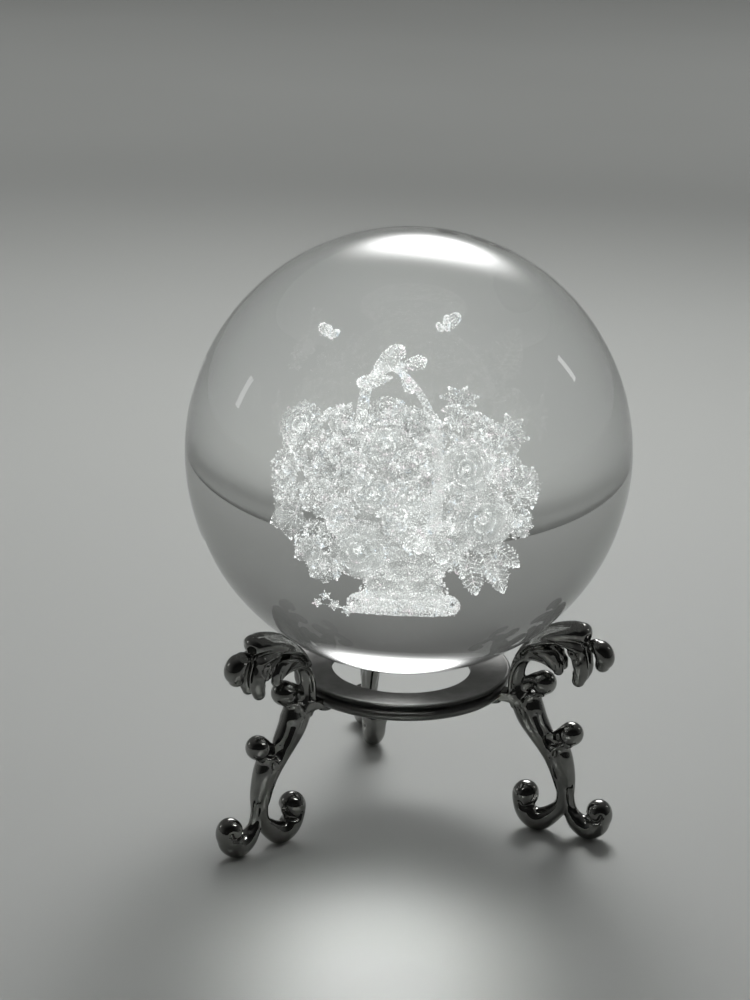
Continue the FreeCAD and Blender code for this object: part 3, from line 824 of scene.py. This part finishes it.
# Rolls round the basket: height, radius, thickness, marks
ROLLS = [(FOOT_Z + 1.0, FOOT_R - 0.95, 1.0, 4600), (RIM_Z, RIM_R - 0.3, 0.4, 2200),
         (WAIST_Z, WAIST_R, 0.25, 500)]


def basket_radius(z):
    z = np.asarray(z, dtype=float)
    low = np.clip((z - FOOT_Z) / (WAIST_Z - FOOT_Z), 0, 1)
    high = np.clip((z - WAIST_Z) / (RIM_Z - WAIST_Z), 0, 1)
    below = FOOT_R + (WAIST_R - FOOT_R) * np.sin(low * math.pi / 2) ** 0.9
    return np.where(z < WAIST_Z, below, WAIST_R + (RIM_R - WAIST_R) * (1 - (1 - high) ** 1.8) ** 0.95)


def around(r, way, z):
    """Places on circles about the basket's axis."""
    return np.stack([r * np.cos(way), r * np.sin(way), z], axis=1)


def make_basket():
    """Rows of weave over and under the stakes, rolls at foot, waist and rim, and a smooth wall behind."""
    marks = Marks()
    for k, z in enumerate(np.arange(FOOT_Z + 0.7, RIM_Z - 0.2, WEAVE_STEP)):
        r = float(basket_radius(z))
        stakes = 2 * int(round(r * 2.0))
        n = int(r * 150)
        way = rng.uniform(0, 2 * math.pi, n)
        wave = np.sin(way * stakes / 2 + (k % 2) * math.pi)
        keep = rng.uniform(0, 1, n) < np.clip(0.28 + 0.72 * wave, 0.08, 1)
        way, wave = way[keep], wave[keep]
        rise = rng.uniform(-0.27, 0.27, len(way)) + 0.18 * np.sin(way * stakes / 2 + (k % 2) * math.pi + 0.8)
        marks.flecks(around(r + 0.28 * wave, way, z + rise), FLECK * 0.95, 0.05, tone=1.1)
    for z, r, thick, count in ROLLS:
        way = rng.uniform(0, 2 * math.pi, count)
        section = rng.uniform(0, 2 * math.pi, count)
        marks.flecks(around(r + thick * np.cos(section), way, z + thick * np.sin(section)), FLECK, 0.05)

    def wall(u, v):
        z = FOOT_Z + u * (RIM_Z - FOOT_Z)
        return around(basket_radius(z) - 0.25, v * 2 * math.pi, z)

    marks.surface(wall, 1800, 0, grid=(22, 56), size=FLECK * 0.8)
    marks.build("basket_marks", "engraved_basket")


HANDLE_LINE = [
    (3.5, -10.6, -7.4), (3.7, -10.6, -3.0), (3.7, -9.0, 1.8), (2.8, -5.6, 5.6), (1.1, -2.8, 8.3),
    (-1.2, -0.2, 9.9), (-3.2, 2.8, 9.2), (-4.8, 5.4, 6.2), (-5.2, 7.4, 0.5), (-5.2, 8.0, -7.4),
]
HANDLE_ACROSS = np.array([0.93, 0.36, 0.0])
BRAIDS = 58
SMOOTH_BRAIDS = 17                  # braids that fade out behind the smooth strip at the front
STRIP_WIDTH = 1.5
STRIP_DEPTHS = (0.2, 0.7)           # behind the handle's own line


def make_handle():
    """Braided strip, up in front of the flowers and over to the far side of the rim."""
    marks = Marks()
    line = smooth_line(HANDLE_LINE, 12)

    def on_line(line, u):
        along = np.linspace(0, 1, len(line))
        return np.stack([np.interp(u, along, line[:, k]) for k in range(3)], axis=1)

    def f(u, v):
        width = np.interp(u, [0.0, 0.3, 0.4, 0.55, 1.0], [1.6, 1.45, 0.9, 1.0, 1.5])
        return on_line(line, u) + np.outer((v - 0.5) * width, HANDLE_ACROSS)

    marks.surface(f, 2600, 0, grid=(90, 4), size=FLECK * 0.75)
    for k in range(BRAIDS):
        s = rng.uniform(0, 1, 34)
        twist = (k + 0.5 + 0.9 * (s - 0.5) * (1 if k % 2 else -1)) / BRAIDS
        front = np.clip(1.15 - 0.04 * k, 0.0, 1.0) if k < SMOOTH_BRAIDS else 0.0
        marks.flecks(f(twist, s), FLECK * (0.95 - 0.3 * front), 0.05, tone=0.95 - 0.2 * front)
    for v in (0.0, 1.0):
        u = rng.uniform(0, 1, 1300)
        marks.flecks(f(u, np.full(len(u), v)), FLECK * 0.7, 0.05, tone=0.8)
    near = line[:len(line) // 3]

    def strip(depth):
        back = np.array([0, depth, 0])
        return lambda u, v: on_line(near, u) + np.outer((v - 0.5) * STRIP_WIDTH, HANDLE_ACROSS) + back

    # Two layers of fine marks; the veils of both lie on the deeper one, which makes it twice as dense.
    for depth in STRIP_DEPTHS:
        marks.surface(strip(depth), 900, 0, veil=False, size=FLECK * 0.55, tones=(1.0, 1.0))
        marks.veils.append((strip(STRIP_DEPTHS[-1]), (34, 4), (1.0, 1.0)))
    marks.build("handle_marks", "engraved_handle")


BOW_FACE = (0.0, -1.0, 0.15)
# Top bow: place of each lobe, way, length, half width, marks per area
TOP_LOBES = [((-4.9, -1.0, 9.7), 47, 5.5, 1.35, 30), ((-2.3, -1.2, 9.75), 191, 4.4, 0.85, 44),
             ((-1.4, -1.0, 11.3), 12, 3.3, 0.9, 30), ((-1.2, -1.0, 10.5), -62, 3.0, 0.7, 40)]
TOP_KNOT = (-1.4, -1.1, 10.9)
# Front bow: all lobes from its knot: way, length, half width, marks per area, stripes
FRONT_KNOT = (2.9, -12.0, -6.6)
FRONT_LOBES = [(157, 3.6, 1.2, 16, 0), (-4, 3.0, 0.9, 16, 0), (222, 4.4, 1.0, 16, 4), (246, 3.9, 0.8, 14, 3),
               (-67, 5.2, 1.2, 14, 0)]


def lobe(marks, at, way, length, half, dense, tones, stripes=0):
    """Puffed loop or tail of a bow, way in degrees from the right-hand side upwards."""
    f = petal(length, half / length, 84, 96, 0.35, 0.05, 5.0, rng.uniform(0, 6), False)
    g = placed(f, at, looking(BOW_FACE), math.radians(way))
    area = length * half * 2
    marks.surface(g, int(area * dense), int(length * 26), grid=(9, 7), tones=tones, veins=2)
    for k in range(stripes):
        s = rng.uniform(0.05, 1, int(length * 14))
        marks.flecks(g(s, np.full(len(s), (k + 0.6) / stripes)), FLECK * 0.9, 0.03, tone=1.25)


def make_bows():
    marks = Marks()
    for at, way, length, half, dense in TOP_LOBES:
        lobe(marks, at, way, length, half, dense, (1.05, 1.2))
    marks.knot(TOP_KNOT, 200, 0.4)
    marks.build("top_bow_marks", "engraved_top_bow")
    marks = Marks()
    for way, length, half, dense, stripes in FRONT_LOBES:
        lobe(marks, FRONT_KNOT, way, length, half, dense, (0.8, 1.25), stripes)
    marks.knot(FRONT_KNOT, 120, 0.33)
    marks.build("front_bow_marks", "engraved_front_bow")


ROSES = [  # place, direction it looks, radius, ruffle, smooth
    ((-6.0, -10.0, -10.2), (-0.25, -0.85, -0.2), 3.8, 0.05, True),
    ((9.2, -8.0, -6.2), (0.4, -0.85, -0.1), 4.2, 0.04, True),
    ((6.9, -7.0, -0.3), (0.3, -0.75, 0.4), 3.5, 0.04, True),
    ((-12.5, 0.0, 2.6), (-0.6, -0.5, 0.6), 2.9, 0.14, False),
    ((-4.4, -8.9, -3.2), (-0.15, -0.9, 0.3), 2.5, 0.10, False),
    ((0.6, -9.2, -3.3), (0.0, -0.95, 0.2), 2.1, 0.10, False),
    ((-2.9, -4.0, 1.4), (-0.1, -0.8, 0.6), 3.2, 0.09, False),
    ((-7.0, 9.0, -5.0), (-0.5, 0.8, 0.2), 3.5, 0.07, False),
    ((6.0, 9.5, -6.0), (0.4, 0.9, 0.0), 3.5, 0.07, False),
    ((0.0, 7.5, 0.5), (0.0, 0.6, 0.8), 3.2, 0.07, False),
]
LILIES = [  # place, direction it looks, radius, petals, half width, stamens
    ((-14.2, -6.0, -7.0), (-0.5, -0.85, 0.0), 3.6, 5, 0.42, True),
    ((-11.8, -7.4, -10.7), (-0.45, -0.85, -0.2), 3.0, 5, 0.44, False),
    ((11.6, -0.5, 2.4), (0.55, -0.6, 0.5), 3.1, 6, 0.28, True),
    ((13.3, -2.5, -4.6), (0.7, -0.7, 0.0), 2.6, 5, 0.3, True),
    ((5.8, 1.5, 5.2), (0.1, -0.35, 0.9), 2.9, 7, 0.26, False),
    ((5.6, 0.5, 3.4), (0.2, -0.5, 0.8), 2.6, 6, 0.26, True),
    ((-12.5, 6.0, -6.0), (-0.8, 0.5, 0.0), 3.0, 5, 0.34, True),
    ((12.5, 6.0, -5.5), (0.8, 0.5, 0.0), 3.0, 5, 0.34, True),
    ((-1.0, 12.0, -9.0), (0.0, 1.0, -0.1), 2.8, 5, 0.34, True),
]
SMALL = [  # place, direction it looks, radius
    ((-14.7, -3.0, -1.8), (-0.8, -0.6, 0.2), 2.3), ((-13.9, -2.0, 1.4), (-0.7, -0.6, 0.3), 1.5),
    ((-10.2, -7.2, -13.0), (-0.4, -0.8, -0.2), 2.1), ((-8.6, -8.4, -6.0), (-0.2, -0.9, 0.2), 1.9),
    ((9.3, -1.0, 2.0), (0.4, -0.6, 0.7), 2.3), ((11.6, -3.0, -1.4), (0.6, -0.7, 0.3), 2.2),
    ((-2.5, 3.0, 3.4), (-0.1, -0.5, 0.8), 2.1), ((-7.7, -1.0, 3.2), (-0.3, -0.6, 0.7), 1.9),
    ((13.3, -3.4, -7.6), (0.7, -0.7, 0.0), 1.9), ((-1.6, -9.4, -6.2), (0.0, -0.95, 0.2), 1.6),
    ((-6.6, -7.6, -0.8), (-0.3, -0.8, 0.4), 2.4), ((-8.0, 6.0, 2.0), (-0.4, 0.5, 0.8), 2.0),
    ((8.0, 6.0, 1.5), (0.4, 0.5, 0.8), 2.0), ((8.5, 9.5, -11.2), (0.5, 0.8, -0.3), 2.0),
]
LEAVES = [  # stalk, direction, length, width
    ((7.6, -6.0, -11.6), (0.25, -0.1, -1.0), 4.9, 3.0), ((10.2, -4.2, -11.4), (0.35, -0.1, -0.95), 5.2, 2.9),
    ((10.6, -4.2, -10.4), (0.8, -0.2, -0.6), 4.2, 2.4), ((6.2, -7.6, -10.8), (0.3, -0.2, -0.9), 3.4, 1.9),
    ((-8.2, -6.2, -11.8), (-0.1, -0.2, -1.0), 3.2, 1.4),
    ((-9.6, 3.6, -9.4), (-0.5, 0.3, -0.9), 4.6, 2.6), ((7.8, 6.2, -12.4), (0.4, 0.4, -0.9), 4.4, 2.6),
    ((-7.0, 8.6, -9.8), (-0.3, 0.5, -0.9), 4.6, 2.6),
]
GAP_FLOWERS = [  # place, direction it looks, radius
    ((-10.8, -6.4, -4.4), (-0.5, -0.85, 0.1), 2.4), ((1.0, -6.4, 0.6), (0.05, -0.9, 0.4), 2.3),
]
# Sprig beside the basket's foot: blossoms (place, radius), its stem, and where their stalks bend
BLOSSOMS = [((-9.6, -5.0, -17.2), 0.60), ((-10.6, -5.0, -18.2), 0.55), ((-8.6, -6.2, -18.3), 0.70),
            ((-7.0, -6.8, -18.9), 0.70)]
SPRIG_FORK = (-7.6, -6.6, -18.5)
SPRIG_STEM = [(-8.6, -6.2, -18.3), SPRIG_FORK, (-5.6, -7.2, -18.5), (-3.2, -7.5, -18.0)]
SPRIG_BEND = np.array([-8.0, -6.4, -18.5])
# Round mass of the bouquet, filled with small leaves
MASS_CENTRE = np.array([-0.4, -0.6, -4.6])
MASS_RADII = np.array([13.6, 10.4, 8.7])
FILLERS = 300
FILLER_SIZES = (1.5, 2.6)


def filling(marks):
    """Small crinkled leaves between the flowers, all over the round mass of the bouquet."""
    for _ in range(FILLERS):
        way = unit(rng.normal(0, 1, 3))
        if way[2] < -0.55:
            way[2] *= -0.5
            way = unit(way)
        at = MASS_CENTRE + way * MASS_RADII * rng.uniform(0.72, 0.97)
        size = rng.uniform(*FILLER_SIZES)
        f = petal(size, rng.uniform(0.26, 0.42), rng.uniform(10, 60), rng.uniform(60, 120), 0.3, 0.10, 7.0,
                  rng.uniform(0, 6), bool(rng.integers(0, 2)))
        g = placed(f, at, looking(way + rng.normal(0, 0.35, 3)), rng.uniform(0, 2 * math.pi))
        marks.surface(g, int(size ** 2 * 8), int(size * 26), veil=bool(rng.integers(0, 2)), grid=(6, 5),
                      veins=1, tones=petal_tones(0.25))


def make_flowers():
    """Roses, open flowers, small flowers, and leaves with the filling between them."""
    for grow, rows, name, node in ((rose, ROSES, "rose_marks", "engraved_roses"),
                                   (lily, LILIES, "open_flower_marks", "engraved_open_flowers"),
                                   (crinkled, SMALL, "small_flower_marks", "engraved_small_flowers")):
        marks = Marks()
        for row in rows:
            grow(marks, *row)
        marks.build(name, node)
    marks = Marks()
    for at, along, length, width in LEAVES:
        toothed_leaf(marks, at, along, length, width, (0.0, -1.0 if at[1] < 0 else 1.0, 0.2))
    filling(marks)
    for at, look, radius in GAP_FLOWERS:
        crinkled(marks, at, look, radius)
    marks.build("leaf_marks", "engraved_leaves")


def make_sprig():
    marks = Marks()
    for at, radius in BLOSSOMS:
        star(marks, at, (-0.2, -0.95, 0.2), radius)
    marks.flecks(np.repeat(smooth_line(SPRIG_STEM, 24), 2, axis=0), FLECK * 0.7, 0.03)
    for at, _ in BLOSSOMS:
        stalk = smooth_line([at, np.asarray(at) * 0.5 + SPRIG_BEND * 0.5, SPRIG_FORK], 10)
        marks.flecks(stalk, FLECK * 0.7, 0.02)
    marks.build("sprig_marks", "engraved_sprig")


WINGS = [(32, 1.15), (74, 0.85)]    # fore and hind wing: lean, length over the butterfly's size


def make_butterfly(name, node, at, heading, size, spread):
    """Four wings, a body and two feelers; spread is how far the wings stand apart, in degrees."""
    marks = Marks()
    turn = looking(heading, 0.0)
    for side in (-1, 1):
        for tilt, length in WINGS:
            f = petal(size * length, 0.30, tilt, tilt + 12, 0.1, 0.03, 4.0, 1.0, False)
            g = placed(f, at, turn, math.radians(90 + side * spread))
            marks.surface(g, 90, 150, grid=(8, 6), veins=3)
    body = np.linspace(-0.45, 0.45, 40)[:, None] * unit(heading) * size
    marks.flecks(np.asarray(at) + body, FLECK, 0.06)
    for side in (-1, 1):
        tip = turn @ np.array([0.1 * side, 0.22 * side, 0.85]) * size
        marks.flecks(np.asarray(at) + np.linspace(0.4, 1, 10)[:, None] * tip, FLECK * 0.7, 0.02)
    marks.build(name, node)


make_basket()
make_handle()
make_bows()
make_flowers()
make_sprig()
make_butterfly("left_butterfly_marks", "engraved_butterfly_left", (-10.4, 0.0, 14.6), (-0.6, -0.45, 0.6),
               2.0, 42)
make_butterfly("right_butterfly_marks", "engraved_butterfly_right", (3.9, 0.0, 16.1), (0.7, -0.3, 0.5),
               2.4, 62)


# ------------------------------------------------------------------ floor, light and camera

FLOOR_RINGS = (0.15, 0.4, 1.0, 4.0)         # metres
FLOOR_SIDES = 64


def stage_floor():
    """Round floor of rings of quads about a middle point."""
    points = [(0.0, 0.0, 0.0)]
    for r in FLOOR_RINGS:
        for k in range(FLOOR_SIDES):
            way = 2 * math.pi * k / FLOOR_SIDES
            points.append((r * math.cos(way), r * math.sin(way), 0.0))
    pairs = [(k, (k + 1) % FLOOR_SIDES) for k in range(FLOOR_SIDES)]
    faces = [(0, 1 + k, 1 + after) for k, after in pairs]
    for ring in range(len(FLOOR_RINGS) - 1):
        a = 1 + ring * FLOOR_SIDES
        b = a + FLOOR_SIDES
        faces += [(a + k, b + k, b + after, a + after) for k, after in pairs]
    floor = mesh_object("studio_floor", np.array(points) / MM, faces, [floor_material()])


def area_light(name, at, look_at, size, power, soft=False, spread=180.0, unseen_by=()):
    """Area light, spread in degrees; the kinds of ray named in unseen_by pass it by."""
    data = bpy.data.lights.new(name, "AREA")
    data.shape = "ELLIPSE" if soft else "RECTANGLE"
    data.size, data.size_y = size
    data.energy = power
    data.spread = math.radians(spread)
    if soft:
        soften(data)
    light = bpy.data.objects.new(name, data)
    light.visible_diffuse = "diffuse" not in unseen_by
    light.visible_glossy = "glossy" not in unseen_by
    light.visible_transmission = "transmission" not in unseen_by
    light.location = at
    light.rotation_euler = (Vector(look_at) - Vector(at)).to_track_quat("-Z", "Y").to_euler()
    bpy.context.scene.collection.objects.link(light)


def soften(data):
    """Softbox that is brightest in its middle and fades to its rim."""
    graph = Graph(data)
    place = graph.add("NewGeometry", {}, "Parametric")
    from_middle = graph.add("VectorMath", {0: place, 1: (0.5, 0.5, 0.0)}, "Vector", "SUBTRACT")
    reach = graph.add("VectorMath", {0: from_middle}, "Value", "LENGTH")
    fade = graph.to_range(reach, 1.95, 0.12, 0.05, 0.50)
    fade.node.interpolation_type = "SMOOTHSTEP"
    square = graph.add("Math", {0: fade, 1: 2.0}, "Value", "POWER")
    graph.fill(graph.nodes["Emission"], {"Strength": square})


def set_world():
    """Grey studio: as light as the floor's far end at the horizon, darker above it and towards the front."""
    graph = Graph(bpy.data.worlds.new("studio"))
    way = graph.add("TexCoord", {}, "Generated")
    colour = graph.ramp(graph.add("SeparateXYZ", {"Vector": way}, "Z"),
                        [(0.0, (0.25, 0.255, 0.247)), (0.1, (0.22, 0.225, 0.217)),
                         (0.24, (0.195, 0.2, 0.193)), (0.36, (0.165, 0.168, 0.163)),
                         (0.5, (0.13, 0.132, 0.128)), (0.65, (0.115, 0.117, 0.113)),
                         (0.95, (0.15, 0.15, 0.147))])
    back = graph.to_range(graph.add("SeparateXYZ", {"Vector": way}, "Y"), 0.10, 1.0, -0.6, 0.3)
    graph.fill(graph.nodes["Background"], {"Color": colour, "Strength": back})
    bpy.context.scene.world = graph.owner


VIEW_AZIMUTH = -10.3                # degrees, as are the next two
VIEW_ELEVATION = 18.0
VIEW_ROLL = 1.69
VIEW_DISTANCE = 0.413
VIEW_LENS = 83.0
AIM_LEFT, AIM_BELOW = 0.0060, 0.0088        # the view aims this far beside and below the ball's centre


def place_camera():
    a, e, roll = (math.radians(v) for v in (VIEW_AZIMUTH, VIEW_ELEVATION, VIEW_ROLL))
    back = Vector((math.sin(a) * math.cos(e), -math.cos(a) * math.cos(e), math.sin(e)))
    right = Vector((math.cos(a), math.sin(a), 0.0))
    up = back.cross(right)
    right, up = right * math.cos(roll) + up * math.sin(roll), up * math.cos(roll) - right * math.sin(roll)
    aim = Vector((0, 0, BALL_Z * MM)) - right * AIM_LEFT - up * AIM_BELOW
    data = bpy.data.cameras.new("camera")
    data.lens = VIEW_LENS
    data.sensor_width = 36.0
    data.clip_start = 0.01
    camera = bpy.data.objects.new("camera", data)
    camera.matrix_world = Matrix((
        (right.x, up.x, back.x, 0.0), (right.y, up.y, back.y, 0.0), (right.z, up.z, back.z, 0.0),
        (0, 0, 0, 1)))
    camera.location = aim + back * VIEW_DISTANCE
    bpy.context.scene.collection.objects.link(camera)
    bpy.context.scene.camera = camera


stage_floor()
set_world()
area_light("back_softbox", (0.098, 0.395, 0.538), (0.0, -0.08, 0.0), (0.50, 0.40), 1.4, soft=True,
           spread=130.0, unseen_by=("glossy",))
# Highlight on top of the ball and on the metal
area_light("top_reflection", (0.135, 0.450, 0.450), (0.0, 0.0, 0.07), (0.62, 0.56), 1.7, soft=True,
           spread=130.0, unseen_by=("diffuse", "transmission"))
area_light("far_fill", (0.3, 0.84, 0.70), (0.3, 0.86, 0.0), (3.2, 0.8), 6.2,
           unseen_by=("glossy", "transmission"))
area_light("farther_fill", (0.0, 2.65, 1.15), (0.0, 2.65, 0.0), (5.5, 1.8), 8.5,
           unseen_by=("glossy", "transmission"))
# Bright pool on the floor in front of the ball
area_light("pool_of_light", (-0.02, -0.14, 0.34), (-0.0155, -0.0665, 0.0), (0.03, 0.03), 0.0050,
           spread=10.5, unseen_by=("glossy",))
area_light("left_strip", (-0.72, 0.30, 0.28), (0.0, 0.0, 0.07), (0.05, 0.16), 0.07)
area_light("right_strip", (0.75, 0.10, 0.42), (0.0, 0.0, 0.07), (0.04, 0.14), 0.07)
place_camera()
bpy.context.scene.cycles.transparent_max_bounces = 48
bpy.context.scene.cycles.blur_glossy = 0.0
bpy.context.scene.view_settings.view_transform = "Standard"
